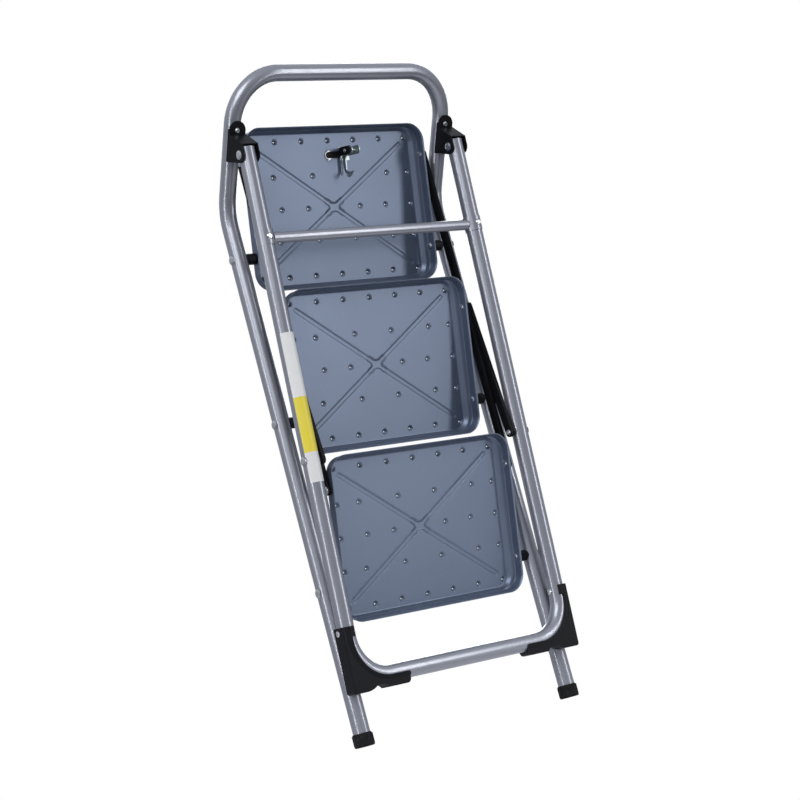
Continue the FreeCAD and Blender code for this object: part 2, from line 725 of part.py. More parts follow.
def latch_hook():
    """Flat J-shaped catch that swings round the crossbar when the platform is down."""
    stem_in = grip_side - crossbar_radius - 0.5
    stem_out = stem_in - 7.0
    ledge_radius = math.hypot(grip_reach, grip_side) + crossbar_radius + 0.4
    tip_in = hook_point(ledge_radius * math.cos(rad(17.5)), ledge_radius * math.sin(rad(17.5)))
    ledge_mid = hook_point(ledge_radius * math.cos(rad(7.0)), ledge_radius * math.sin(rad(7.0)))
    ledge_in = hook_point(ledge_radius * math.cos(rad(3.0)), -ledge_radius * math.sin(rad(3.0)))
    edges = [
        Part.Arc(hook_point(0, 5.2), hook_point(-5.2, 0), hook_point(-3.0, -4.25)).toShape(),
        Part.makeLine(hook_point(-3.0, -4.25), hook_point(8.0, stem_out + 1.5)),
        Part.Arc(hook_point(8.0, stem_out + 1.5), hook_point(18.0, stem_out),
                 hook_point(28.0, stem_out + 1.8)).toShape(),
        Part.Arc(hook_point(28.0, stem_out + 1.8), hook_point(35.2, -7.2), hook_point(37.8, 0.5)).toShape(),
        Part.makeLine(hook_point(37.8, 0.5), hook_point(36.4, 5.0)),
        Part.makeLine(hook_point(36.4, 5.0), tip_in),
        Part.Arc(tip_in, ledge_mid, ledge_in).toShape(),
        Part.Arc(ledge_in, hook_point(30.2, stem_in + 1.6), hook_point(24.5, stem_in)).toShape(),
        Part.makeLine(hook_point(24.5, stem_in), hook_point(13.0, stem_in)),
        Part.Arc(hook_point(13.0, stem_in), hook_point(7.0, -4.5), hook_point(5.2, 1.5)).toShape(),
        Part.makeLine(hook_point(5.2, 1.5), hook_point(0, 5.2)),
    ]
    return on_tread(layer(edges, hook_layer).cut(pin_bore(hook_layer)), 2)


def latch_lever():
    """Plastic finger lever: a cheek on the pin and a paddle that lies in the slot."""
    top = face_underside - 0.5
    paddle_depth = 3.0
    low = -latch_n - 11.0 + ear_half_width
    s0 = latch_s - ear_half_width
    s1 = latch_s + ear_half_width
    edges = [
        Part.makeLine(V(0, s0, top), V(0, s0, low)),
        Part.Arc(V(0, s0, low), V(0, latch_s, low - ear_half_width), V(0, s1, low)).toShape(),
        Part.makeLine(V(0, s1, low), V(0, s1, 7.0)),
        Part.makeLine(V(0, s1, 7.0), V(0, latch_s, top)),
        Part.makeLine(V(0, latch_s, top), V(0, s0, top)),
    ]
    cheek_plate = layer(edges, lever_layer)
    paddle = oval(slot_half_length - 0.7, slot_half_width - 0.7, top - paddle_depth, top)
    keep = Part.makeBox(40, 30, 10, V(lever_layer[0], slot_s - 15, top - paddle_depth - 3))
    body = fused([cheek_plate, paddle.common(keep)])
    return on_tread(body.cut(pin_bore(lever_layer)), 2)


def latch_spring():
    """Torsion spring: a short coil on the pin and a leg along the underside of the platform."""
    coil_radius = 3.4
    leg_w = face_underside - 1.4 - spring_wire - 0.1
    leg = [
        V(spring_x, 117.0, leg_w),
        V(spring_x, 141.0, leg_w),
        V(spring_x, latch_s - 1.2, -latch_n + coil_radius),
    ]
    wire = swept(leg, [8.0], spring_wire)
    coil = Part.makeTorus(coil_radius, spring_wire, V(spring_x, latch_s, -latch_n), X_AXIS)
    return on_tread(fused([wire, coil]), 2)


def main():
    os.makedirs("parts", exist_ok=True)
    save("front_frame_tube", front_tube())
    cap = foot_cap()
    save("foot_cap_left", cap)
    save("foot_cap_right", mirrored(cap))
    bracket = hinge_bracket()
    save("hinge_bracket_left", bracket)
    save("hinge_bracket_right", mirrored(bracket))
    save("bracket_rivets", bracket_rivet(), mirrored(bracket_rivet()))
    hinge_span = (front_half - bracket_outer, front_half + bracket_outer)
    hinge = rivet(*hinge_span, hinge_y, hinge_z, inner_head=head_radius)
    save("hinge_rivets", hinge, mirrored(hinge))
    pivots = tread_pivots()
    save("tread_pivot_rivets", *(pivots + [mirrored(p) for p in pivots]))
    spacers = pivot_spacers()
    save("pivot_spacers", *(spacers + [mirrored(s) for s in spacers]))

    save("rear_frame_tube", rear_tube())
    save("crossbar", crossbar())
    save("crossbar_rivets", crossbar_rivet(), mirrored(crossbar_rivet()))
    shoe = corner_shoe()
    save("corner_shoe_left", shoe)
    save("corner_shoe_right", mirrored(shoe))
    save("shoe_rivets", shoe_rivet(), mirrored(shoe_rivet()))
    save("strut_rivets", strut_pin(), mirrored(strut_pin()))
    save("strut_sleeves", strut_sleeve(), mirrored(strut_sleeve()))
    save("blank_label", label())

    pan = tread_pan()
    save("lower_tread_pan", on_tread(pan, 0))
    save("middle_tread_pan", on_tread(pan, 1))
    save("platform_pan", platform_pan())
    for step, name in enumerate(("lower", "middle", "platform")):
        save(name + "_link_rivets", link_rivet(step), mirrored(link_rivet(step)))
        save(name + "_link_sleeves", link_washer(step), mirrored(link_washer(step)))

    save("link_bar_left", link_bar())
    save("link_bar_right", mirrored(link_bar()))
    save("strut_left", strut_bar())
    save("strut_right", mirrored(strut_bar()))
    save("strut_stud_left", strut_stud())
    save("strut_stud_right", mirrored(strut_stud()))

    save("latch_bracket", latch_bracket())
    save("latch_spring", latch_spring())
    save("latch_pin", latch_pin())
    save("latch_hook", latch_hook())
    save("latch_lever", latch_lever())


main()
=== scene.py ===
"""Looks of the folded platform step ladder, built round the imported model.

The treads' lengths are millimetres until MM turns them into metres; the studio's are metres. +Z is up along
the front legs, +Y points to the rear frame's side and +X is the ladder's left seen from behind it.
"""

import json
import math

import bmesh
import bpy
from mathutils import Matrix, Vector
from mathutils.geometry import delaunay_2d_cdt


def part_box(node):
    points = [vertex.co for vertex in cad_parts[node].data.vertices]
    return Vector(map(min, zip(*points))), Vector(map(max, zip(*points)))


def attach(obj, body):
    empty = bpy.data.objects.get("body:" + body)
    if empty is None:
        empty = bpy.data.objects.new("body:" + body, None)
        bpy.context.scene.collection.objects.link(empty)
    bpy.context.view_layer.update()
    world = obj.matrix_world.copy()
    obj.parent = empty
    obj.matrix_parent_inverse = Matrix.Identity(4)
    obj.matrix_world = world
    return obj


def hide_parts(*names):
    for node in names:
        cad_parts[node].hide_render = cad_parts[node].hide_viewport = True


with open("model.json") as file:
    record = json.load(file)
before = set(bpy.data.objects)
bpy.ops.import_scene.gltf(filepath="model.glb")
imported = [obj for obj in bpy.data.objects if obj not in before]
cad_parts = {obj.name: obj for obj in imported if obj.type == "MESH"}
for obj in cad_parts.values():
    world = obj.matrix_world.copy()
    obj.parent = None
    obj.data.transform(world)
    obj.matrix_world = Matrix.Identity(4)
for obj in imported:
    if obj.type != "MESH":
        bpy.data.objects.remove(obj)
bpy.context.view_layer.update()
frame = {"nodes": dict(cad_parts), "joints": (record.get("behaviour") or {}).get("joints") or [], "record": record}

MM = 0.001
NODES = frame["nodes"]
JOINTS = {joint["name"]: joint for joint in frame["joints"]}

# ---------------------------------------------------------------- treads
TREAD_TILT = math.radians(13.5)
TREAD_MIDDLE = 70.0
SHEET = 1.0
FACE = 14.0                   # standing surface above the pivot plane
FACE_HALF = (152.5, 110.5)
FACE_CORNER = 18.0

# Outer skin from the standing surface to the rolled rim: level, half width, half depth, corner radius.
SKIN = (
    (14.0, 152.5, 110.5, 18.0),
    (13.8, 153.9, 111.8, 18.8),
    (13.2, 155.2, 112.9, 19.6),
    (12.2, 156.2, 113.7, 20.2),
    (11.0, 157.0, 114.2, 20.8),
    (7.9, 159.6, 115.6, 22.6),
    (7.1, 160.4, 116.0, 23.2),
    (6.5, 161.8, 116.4, 24.0),
    (6.0, 163.9, 117.0, 25.0),
    (5.4, 165.6, 117.6, 25.7),
    (4.5, 166.4, 118.0, 26.0),
    (3.5, 166.6, 118.2, 26.2),
    (-7.4, 166.6, 119.1, 26.9),
    (-8.4, 166.8, 119.4, 27.2),
    (-9.2, 167.4, 119.9, 27.6),
    (-9.9, 167.8, 120.3, 27.9),
    (-10.6, 167.9, 120.4, 28.0),
    (-11.0, 167.6, 120.1, 27.8),
)
DIMPLES = {
    101.0: (-147, -98, -49, 0, 49, 98, 147),
    48.5: (-147, -107, -34.5, 34.5, 107, 147),
    0.0: (-147, -98, -49, 49, 98, 147),
    -48.5: (-147, -107, -34.5, 34.5, 107, 147),
    -101.0: (-147, -98, -49, 0, 49, 98, 147),
}
DIMPLE_HOLE = 1.4
DIMPLE_FOOT = 4.5
DIMPLE_RISE = 2.9
RIB_END = (137.0, 91.0)
RIB_INNER = 2.6
RIB_OUTER = 4.4
RIB_RISE = 1.5
RIB_FILLET = 7.0
SLOT_MIDDLE = (-14.5, 148.6 - TREAD_MIDDLE)
SLOT_STRAIGHT = 15.9
SLOT_RADIUS = 5.6
SLOT_LIP = 2.0
SLOT_SINK = 1.0

# Where the tread mesh puts its points: rings, lines along the ribs and two grids. COUNT and the plural STEPS
# are numbers of points, the rest are millimetres.
DIMPLE_RINGS = (DIMPLE_HOLE, 2.1, 2.8, 3.6, DIMPLE_FOOT, 5.2)
SLOT_RINGS = (0.0, 0.5, 1.0, 1.5, SLOT_LIP, 2.6)
RIB_LINES = (-5.0, -4.2, -3.5, -2.9, -2.2, 0.0, 2.2, 2.9, 3.5, 4.2, 5.0)
RIB_END_RINGS = (2.2, 2.9, 3.5, 4.2, 5.0)
RIB_STEP = 3.0                # spacing along a rib
CROSSING_COUNT = (16, 14)     # half counts of the fine grid where the ribs cross
CROSSING_STEP = 1.1
GRID_COUNT = (14, 10)         # half counts of the coarse grid
GRID_STEP = (10.5, 10.3)
GRID_SHIFT = (1.3, 0.7)
GRID_CLEAR = 8.0              # the coarse grid keeps this far from the ribs
CORNER_STEPS = 12             # points round each corner of an outline
SIDE_STEPS = (20, 14)         # points along its long and short sides
RING_STEPS = 20
RIB_END_STEPS = 18
SLOT_STEPS = 12
CELL = 1.0                    # bin of the neighbour search, not smaller than POINT_GAP
POINT_GAP = 0.9               # loose points keep this far from all others,
EDGE_GAP = 3.0                # this far from the face's edge
SLOT_GAP = 0.3                # and this far from the slot

HOLE_FILL = 0.98              # a triangle centred inside this share of a hole's radius is left out
SLOT_FILL = -0.02             # the same for the slot, as a distance from its outline
OUTLINE_FILL = 0.01           # slack of the face's outer outline
MERGE = 1e-5                  # points closer than this become one
SHARP_ANGLE = 50              # degrees; edges below it are shaded smooth
NORMAL_WEIGHT = 60


# ---------------------------------------------------------------- material helpers
EDGE_START = 0.985            # agreement of the two normals where an edge begins to show
EDGE_FULL = 0.9               # and where it shows fully


class Nodes:
    """Short way to write a node material."""

    def __init__(self, name):
        self.material = bpy.data.materials.new(name)
        self.material.use_nodes = True
        self.tree = self.material.node_tree
        self.bsdf = self.tree.nodes["Principled BSDF"]
        self.coords = self.add("ShaderNodeTexCoord").outputs["Object"]

    def add(self, kind, **values):
        node = self.tree.nodes.new(kind)
        for key, value in values.items():
            if key in node.inputs:
                self.feed(node.inputs[key], value)
            else:
                setattr(node, key, value)
        return node

    def feed(self, socket, value):
        if isinstance(value, bpy.types.NodeSocket):
            self.tree.links.new(value, socket)
        else:
            socket.default_value = value

    def noise(self, scale, detail, roughness, stretch=None):
        vector = self.coords
        if stretch is not None:
            vector = self.add("ShaderNodeMapping", Vector=self.coords, Scale=stretch).outputs["Vector"]
        return self.add("ShaderNodeTexNoise", Vector=vector, Scale=scale, Detail=detail,
                        Roughness=roughness).outputs["Fac"]

    def ramp(self, fac, start, end):
        """Value that goes from black to white as fac goes from start to end."""
        node = self.add("ShaderNodeValToRGB", Fac=fac)
        node.color_ramp.elements[0].position = start
        node.color_ramp.elements[1].position = end
        node.color_ramp.elements[0].color = (0, 0, 0, 1)
        node.color_ramp.elements[1].color = (1, 1, 1, 1)
        return node.outputs["Color"]

    def span(self, fac, low, high):
        node = self.add("ShaderNodeMapRange", Value=fac)
        node.inputs["To Min"].default_value = low
        node.inputs["To Max"].default_value = high
        return node.outputs["Result"]

    def mix(self, fac, a, b):
        node = self.add("ShaderNodeMix", data_type="RGBA")
        self.feed(node.inputs[0], fac)
        self.feed(node.inputs[6], a)
        self.feed(node.inputs[7], b)
        return node.outputs[2]

    def multiply(self, a, b):
        node = self.add("ShaderNodeMath", operation="MULTIPLY")
        self.feed(node.inputs[0], a)
        self.feed(node.inputs[1], b)
        return node.outputs[0]

    def edges(self, spread):
        """Mask of edges, outer and inner: where the rounded normal leaves the plain one. The materials paint
        highlights along edges with it.
        """
        bevel = self.add("ShaderNodeBevel", samples=4, Radius=spread * MM).outputs["Normal"]
        normal = self.add("ShaderNodeNewGeometry").outputs["Normal"]
        dot = self.add("ShaderNodeVectorMath", operation="DOT_PRODUCT")
        self.feed(dot.inputs[0], bevel)
        self.feed(dot.inputs[1], normal)
        node = self.add("ShaderNodeMapRange", Value=dot.outputs["Value"])
        node.inputs["From Min"].default_value = EDGE_START
        node.inputs["From Max"].default_value = EDGE_FULL
        return node.outputs["Result"]

    def bump(self, height, strength, distance, normal=None):
        node = self.add("ShaderNodeBump", Height=height, Strength=strength, Distance=distance * MM)
        if normal is not None:
            self.feed(node.inputs["Normal"], normal)
        return node.outputs["Normal"]

    def finish(self, **values):
        for key, value in values.items():
            self.feed(self.bsdf.inputs[key.replace("_", " ")], value)
        return self.material


def powder_silver():
    """Silver-grey powder coat: metallic flake, orange peel and faint handling marks."""
    n = Nodes("frame_paint")
    flake = n.noise(9000.0, 2.0, 0.8)
    peel = n.noise(700.0, 2.0, 0.5)
    cloud = n.noise(14.0, 5.0, 0.6)
    scuff = n.noise(60.0, 6.0, 0.7, (1.0, 1.0, 0.12))
    base = n.mix(n.span(flake, 0.0, 1.0), (0.27, 0.28, 0.32, 1), (0.40, 0.415, 0.465, 1))
    base = n.mix(n.span(cloud, 0.0, 0.35), base, (0.27, 0.285, 0.33, 1))
    rough = n.span(scuff, 0.24, 0.36)
    normal = n.bump(peel, 0.05, 0.03, n.bump(flake, 0.06, 0.01))
    return n.finish(Base_Color=base, Metallic=0.72, Roughness=rough, Normal=normal, Coat_Weight=0.35,
                    Coat_Roughness=0.12)


def tread_enamel():
    """Blue-grey satin coat over pressed sheet, with rolling grain, cloudy sheen and a painted highlight along
    edges and rims.
    """
    n = Nodes("tread_paint")
    grain = n.noise(420.0, 3.0, 0.6, (0.08, 1.0, 1.0))
    cloud = n.noise(7.0, 4.0, 0.55)
    fine = n.noise(5000.0, 2.0, 0.7)
    specks = n.noise(95.0, 6.0, 0.72)
    base = n.mix(cloud, (0.098, 0.128, 0.190, 1), (0.145, 0.180, 0.255, 1))
    base = n.mix(n.span(fine, 0.0, 0.22), base, (0.24, 0.29, 0.39, 1))
    scratch = n.ramp(specks, 0.66, 0.74)
    base = n.mix(n.multiply(scratch, 0.25), base, (0.40, 0.44, 0.50, 1))
    # painted highlight: edges, rims and creases of the sheet lightened towards pale blue-grey
    base = n.mix(n.multiply(n.edges(1.2), 0.55), base, (0.50, 0.54, 0.60, 1))
    rough = n.span(cloud, 0.30, 0.44)
    normal = n.bump(grain, 0.10, 0.06, n.bump(fine, 0.12, 0.015))
    return n.finish(Base_Color=base, Metallic=0.62, Roughness=rough, Normal=normal, Coat_Weight=0.2,
                    Coat_Roughness=0.3)


def black_paint():
    """Semi-matte black paint on pressed steel, a little grey along its edges and creases: a painted highlight."""
    n = Nodes("black_paint")
    peel = n.noise(900.0, 3.0, 0.6)
    cloud = n.noise(40.0, 4.0, 0.6)
    base = n.mix(cloud, (0.003, 0.003, 0.004, 1), (0.007, 0.007, 0.009, 1))
    # painted highlight: edges and creases lightened to dark grey
    base = n.mix(n.multiply(n.edges(0.8), 0.2), base, (0.04, 0.04, 0.05, 1))
    return n.finish(Base_Color=base, Roughness=n.span(cloud, 0.38, 0.52), Normal=n.bump(peel, 0.2, 0.08),
                    Specular_IOR_Level=0.12)


def moulded_plastic():
    """Matte black plastic with a fine spark-eroded grain and a painted highlight along its edges."""
    n = Nodes("black_plastic")
    grain = n.add("ShaderNodeTexVoronoi", Vector=n.coords, Scale=1500.0).outputs["Distance"]
    cloud = n.noise(22.0, 4.0, 0.6)
    base = n.mix(cloud, (0.004, 0.004, 0.006, 1), (0.009, 0.009, 0.012, 1))
    # painted highlight: edges and creases lightened to dark grey
    base = n.mix(n.multiply(n.edges(1.0), 0.35), base, (0.06, 0.06, 0.07, 1))
    return n.finish(Base_Color=base, Roughness=n.span(cloud, 0.42, 0.58), Normal=n.bump(grain, 0.35, 0.08),
                    Specular_IOR_Level=0.16)


def cap_rubber():
    """Dusty black rubber of the foot caps."""
    n = Nodes("cap_rubber")
    dust = n.noise(120.0, 6.0, 0.7)
    base = n.mix(n.ramp(dust, 0.5, 0.9), (0.004, 0.004, 0.005, 1), (0.03, 0.03, 0.03, 1))
    return n.finish(Base_Color=base, Roughness=n.span(dust, 0.6, 0.82), Normal=n.bump(dust, 0.3, 0.1),
                    Specular_IOR_Level=0.25)


def plated_steel(name, tint, rough_low, rough_high):
    """Bright plated or dark steel with a faint spangle and a fine uneven sheen."""
    n = Nodes(name)
    spangle = n.add("ShaderNodeTexVoronoi", Vector=n.coords, Scale=700.0).outputs["Color"]
    uneven = n.noise(900.0, 3.0, 0.6)
    shade = n.mix(0.12, (*tint, 1), spangle)
    base = n.mix(n.span(uneven, 0.0, 0.3), shade, (tint[0] * 0.6, tint[1] * 0.6, tint[2] * 0.6, 1))
    return n.finish(Base_Color=base, Metallic=1.0, Roughness=n.span(uneven, rough_low, rough_high),
                    Normal=n.bump(uneven, 0.15, 0.03))


LABEL_BANDS = ((0.43, (0.78, 0.78, 0.77)), (0.80, (0.80, 0.66, 0.02)), (1.0, (0.74, 0.74, 0.73)))


def label_film(top, bottom):
    """Blank printed film: a white, a yellow and a white band, with no lettering."""
    n = Nodes("label_film")
    height = n.add("ShaderNodeSeparateXYZ", Vector=n.coords).outputs["Z"]
    along = n.add("ShaderNodeMapRange", Value=height)
    along.inputs["From Min"].default_value = top
    along.inputs["From Max"].default_value = bottom
    ramp = n.add("ShaderNodeValToRGB", Fac=along.outputs["Result"])
    ramp.color_ramp.interpolation = "CONSTANT"
    ramp.color_ramp.elements[0].color = (*LABEL_BANDS[0][1], 1)
    ramp.color_ramp.elements[1].position = LABEL_BANDS[0][0]
    ramp.color_ramp.elements[1].color = (*LABEL_BANDS[1][1], 1)
    last = ramp.color_ramp.elements.new(LABEL_BANDS[1][0])
    last.color = (*LABEL_BANDS[2][1], 1)
    wrinkle = n.noise(60.0, 3.0, 0.5)
    base = n.mix(n.span(wrinkle, 0.0, 0.18), ramp.outputs["Color"], (0.45, 0.45, 0.44, 1))
    return n.finish(Base_Color=base, Roughness=n.span(wrinkle, 0.28, 0.42), Normal=n.bump(wrinkle, 0.2, 0.2))


label_low, label_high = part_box("blank_label")
MATERIALS = {
    "frame_paint": powder_silver(),
    "tread_paint": tread_enamel(),
    "black_paint": black_paint(),
    "cap_rubber": cap_rubber(),
    "black_plastic": moulded_plastic(),
    "latch_steel": plated_steel("latch_steel", (0.52, 0.58, 0.58), 0.30, 0.45),
    "spring_steel": plated_steel("spring_steel", (0.10, 0.11, 0.13), 0.3, 0.45),
    "rivet_zinc": plated_steel("rivet_zinc", (0.66, 0.68, 0.70), 0.16, 0.32),
    "label_film": label_film(label_high.z, label_low.z),
}


def paint_cad_nodes():
    for part in frame["record"]["subparts"]:
        node = NODES[part["node"]]
        node.data.materials.clear()
        node.data.materials.append(MATERIALS[part["material_slot"]])


# ---------------------------------------------------------------- tread mesh
def corner_points(half_x, half_s, radius):
    """Points round a rounded rectangle, always in the same number and order."""
    points = []
    centres = ((1, 1), (-1, 1), (-1, -1), (1, -1))
    for i, (sx, ss) in enumerate(centres):
        cx = sx * (half_x - radius)
        cs = ss * (half_s - radius)
        for k in range(CORNER_STEPS + 1):
            angle = math.pi / 2 * (i + k / CORNER_STEPS)
            points.append((cx + radius * math.cos(angle), cs + radius * math.sin(angle)))
        nx, ns = centres[(i + 1) % 4]
        angle = math.pi / 2 * (i + 1)
        last = points[-1]
        following = (nx * (half_x - radius) + radius * math.cos(angle),
                     ns * (half_s - radius) + radius * math.sin(angle))
        count = SIDE_STEPS[i % 2]
        for k in range(1, count):
            t = k / count
            points.append((last[0] + (following[0] - last[0]) * t, last[1] + (following[1] - last[1]) * t))
    return points


def segment_distance(x, s, sign):
    """Distance from a point to the axis of one rib."""
    ex, es = RIB_END[0] * sign, RIB_END[1]
    t = max(-1.0, min(1.0, (x * ex + s * es) / (ex * ex + es * es)))
    return math.hypot(x - ex * t, s - es * t)


def rib_distance(x, s):
    """Distance to the crossing ribs, rounded where they meet."""
    a = segment_distance(x, s, 1)
    b = segment_distance(x, s, -1)
    overlap = max(0.0, RIB_FILLET - abs(a - b))
    return min(a, b) - overlap * overlap / (4 * RIB_FILLET)


def smooth(t):
    t = max(0.0, min(1.0, t))
    return t * t * (3 - 2 * t)


def slot_distance(x, s):
    dx = max(0.0, abs(x - SLOT_MIDDLE[0]) - SLOT_STRAIGHT)
    return math.hypot(dx, s - SLOT_MIDDLE[1]) - SLOT_RADIUS


def face_level(x, s, slotted):
    """Height of the standing surface with its ribs, pierced dimples and slot lip."""
    level = FACE + RIB_RISE * smooth((RIB_OUTER - rib_distance(x, s)) / (RIB_OUTER - RIB_INNER))
    for row, places in DIMPLES.items():
        if abs(s - row) > DIMPLE_FOOT:
            continue
        for place in places:
            r = math.hypot(x - place, s - row)
            if r < DIMPLE_FOOT:
                level += DIMPLE_RISE * smooth((DIMPLE_FOOT - r) / (DIMPLE_FOOT - DIMPLE_HOLE))
    if slotted:
        level -= SLOT_SINK * smooth((SLOT_LIP - slot_distance(x, s)) / SLOT_LIP)
    return level


def ring(x, s, radius, count):
    return [(x + radius * math.cos(2 * math.pi * k / count), s + radius * math.sin(2 * math.pi * k / count))
            for k in range(count)]


def oval(grow):
    """Points round the latch slot, grown outwards.

    Known fault, left as it was: the second half runs the wrong way round, so the outline crosses itself and
    about a quarter of the slot stays covered by sheet.
    """
    radius = SLOT_RADIUS + grow
    points = []
    for side in (1, -1):
        for k in range(SLOT_STEPS + 1):
            angle = side * math.pi / 2 * (2 * k / SLOT_STEPS - 1) + (0 if side > 0 else math.pi)
            x = SLOT_MIDDLE[0] + side * SLOT_STRAIGHT + radius * math.cos(angle)
            points.append((x, SLOT_MIDDLE[1] + radius * math.sin(angle)))
    return points


def face_points(slotted):
    """Points spread over the standing surface: fine round each feature, coarse between."""
    features = []
    for row, places in DIMPLES.items():
        for place in places:
            for radius in DIMPLE_RINGS:
                features.append(ring(place, row, radius, RING_STEPS))
    if slotted:
        for grow in SLOT_RINGS:
            features.append(oval(grow))
    rib_length = math.hypot(*RIB_END)
    loose = []
    for sign in (1, -1):
        ux, us = RIB_END[0] * sign / rib_length, RIB_END[1] / rib_length
        steps = int(rib_length / RIB_STEP)
        for k in range(-steps, steps + 1):
            for across in RIB_LINES:
                along = rib_length * k / steps
                loose.append((ux * along - us * across, us * along + ux * across))
        for end in (1, -1):
            for radius in RIB_END_RINGS:
                loose.extend(ring(RIB_END[0] * sign * end, RIB_END[1] * end, radius, RIB_END_STEPS))
    for i in range(-CROSSING_COUNT[0], CROSSING_COUNT[0] + 1):
        for j in range(-CROSSING_COUNT[1], CROSSING_COUNT[1] + 1):
            loose.append((i * CROSSING_STEP, j * CROSSING_STEP))
    for i in range(-GRID_COUNT[0], GRID_COUNT[0] + 1):
        for j in range(-GRID_COUNT[1], GRID_COUNT[1] + 1):
            x, s = i * GRID_STEP[0] + GRID_SHIFT[0], j * GRID_STEP[1] + GRID_SHIFT[1]
            if rib_distance(x, s) > GRID_CLEAR:
                loose.append((x, s))
    return features, loose


def in_rounded(x, s):
    """True inside the rounded outline of the standing surface."""
    dx = max(0.0, abs(x) - (FACE_HALF[0] - FACE_CORNER))
    ds = max(0.0, abs(s) - (FACE_HALF[1] - FACE_CORNER))
    return math.hypot(dx, ds) < FACE_CORNER + OUTLINE_FILL


def tread_skin(name, slotted):
    """Pressed sheet tread in its own flat frame: x across, s towards its free edge, level up."""
    outline = corner_points(*SKIN[0][1:])
    features, loose = face_points(slotted)
    fixed = outline + [p for feature in features for p in feature]
    taken = {}

    def is_free(point):
        kx, ks = int(point[0] // CELL), int(point[1] // CELL)
        for dx in (-1, 0, 1):
            for ds in (-1, 0, 1):
                for other in taken.get((kx + dx, ks + ds), ()):
                    if math.hypot(point[0] - other[0], point[1] - other[1]) < POINT_GAP:
                        return False
        return True

    def take(point):
        taken.setdefault((int(point[0] // CELL), int(point[1] // CELL)), []).append(point)

    for point in fixed:
        take(point)
    extra = []
    for point in loose:
        near_edge = any(abs(point[k]) > FACE_HALF[k] - EDGE_GAP for k in (0, 1))
        in_slot = slotted and slot_distance(*point) < SLOT_GAP
        if near_edge or in_slot or not is_free(point):
            continue
        take(point)
        extra.append(point)
    points = [Vector(p) for p in fixed + extra]
    edges = [(i, (i + 1) % len(outline)) for i in range(len(outline))]
    start = len(outline)
    for feature in features:
        edges += [(start + k, start + (k + 1) % len(feature)) for k in range(len(feature))]
        start += len(feature)
    flat, _, triangles, origin, _, _ = delaunay_2d_cdt(points, edges, [], 0, MERGE)

    mesh = bmesh.new()
    verts = [mesh.verts.new((p.x, p.y, face_level(p.x, p.y, slotted))) for p in flat]
    where = {}
    for i, sources in enumerate(origin):
        for source in sources:
            where[source] = verts[i]
    holes = [(place, row) for row, places in DIMPLES.items() for place in places]
    for tri in triangles:
        cx = sum(flat[i].x for i in tri) / 3
        cs = sum(flat[i].y for i in tri) / 3
        if any(math.hypot(cx - hx, cs - hs) < DIMPLE_HOLE * HOLE_FILL for hx, hs in holes):
            continue
        if slotted and slot_distance(cx, cs) < SLOT_FILL:
            continue
        if not in_rounded(cx, cs):
            continue
        mesh.faces.new([verts[i] for i in tri])
    loop = [where[i] for i in range(len(outline))]
    for level, half_x, half_s, radius in SKIN[1:]:
        following = [mesh.verts.new((x, s, level)) for x, s in corner_points(half_x, half_s, radius)]
        for i in range(len(loop)):
            j = (i + 1) % len(loop)
            mesh.faces.new((loop[i], loop[j], following[j], following[i]))
        loop = following
    bmesh.ops.delete(mesh, geom=[v for v in mesh.verts if not v.link_faces], context="VERTS")
    bmesh.ops.recalc_face_normals(mesh, faces=mesh.faces)
    if sum(f.normal.z for f in mesh.faces if len(f.verts) == 3) < 0:
        bmesh.ops.reverse_faces(mesh, faces=mesh.faces)
    data = bpy.data.meshes.new(name)
    mesh.to_mesh(data)
    mesh.free()
    return data


def add_object(name, data, material):
    thing = bpy.data.objects.new(name, data)
    bpy.context.scene.collection.objects.link(thing)
    data.materials.append(material)
    return thing


def apply_modifiers(thing):
    bpy.context.view_layer.update()
    graph = bpy.context.evaluated_depsgraph_get()
    data = bpy.data.meshes.new_from_object(thing.evaluated_get(graph))
    thing.modifiers.clear()
    thing.data = data


def smooth_by_angle(thing, degrees):
    """Smooth shading that keeps the edges sharper than the angle."""
    data = thing.data
    mesh = bmesh.new()
    mesh.from_mesh(data)
    for face in mesh.faces:
        face.smooth = True
    for edge in mesh.edges:
        edge.smooth = not edge.is_manifold or edge.calc_face_angle(0.0) < math.radians(degrees)
    mesh.to_mesh(data)
    mesh.free()


def tread_matrix(joint):
    pivot = Vector(JOINTS[joint]["pos_m"])
    turn = Matrix.Rotation(math.pi / 2 - TREAD_TILT, 4, "X")
    middle = Matrix.Translation((0, TREAD_MIDDLE * MM, 0))
    return Matrix.Translation(pivot) @ turn @ middle @ Matrix.Scale(MM, 4)


def build_tread(step, joint, body):
    data = tread_skin(step + "_sheet", body == "platform")
    sheet = add_object(step + "_sheet", data, MATERIALS["tread_paint"])
    thicken = sheet.modifiers.new("thickness", "SOLIDIFY")
    thicken.thickness = SHEET
    thicken.offset = -1.0
    thicken.use_even_offset = True
    apply_modifiers(sheet)
    smooth_by_angle(sheet, SHARP_ANGLE)
    weigh = sheet.modifiers.new("normals", "WEIGHTED_NORMAL")
    weigh.keep_sharp = True
    weigh.weight = NORMAL_WEIGHT
    apply_modifiers(sheet)
    sheet.data.transform(tread_matrix(joint))
    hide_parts("platform_pan" if body == "platform" else step + "_tread_pan")
    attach(sheet, body)


# ---------------------------------------------------------------- studio, in metres
PHOTO_VIEW = {
    "azimuth": 38.58,         # from +Y towards +X
    "elevation": -9.70,
    "roll": 15.01,
    "distance": 3.423,
    "target": (0.0, -0.04783, 0.4735),
    "lens": 103.65,
    "shift": (0.0152, 0.0131),
    "sensor": 36.0,
    "far": 50.0,
}

FLOOR_RADIUS = 7.0
FLOOR_DROP = 0.0005           # under the feet, so that the two never share a plane
FLOOR_FADE = (0.35, 1.5)      # from the middle, where the floor melts into the white backdrop
ROOM_LOW = (0.25, (0.16, 0.17, 0.19, 1))
ROOM_HIGH = (0.8, (0.78, 0.81, 0.88, 1))
ROOM_STRENGTH = 0.75

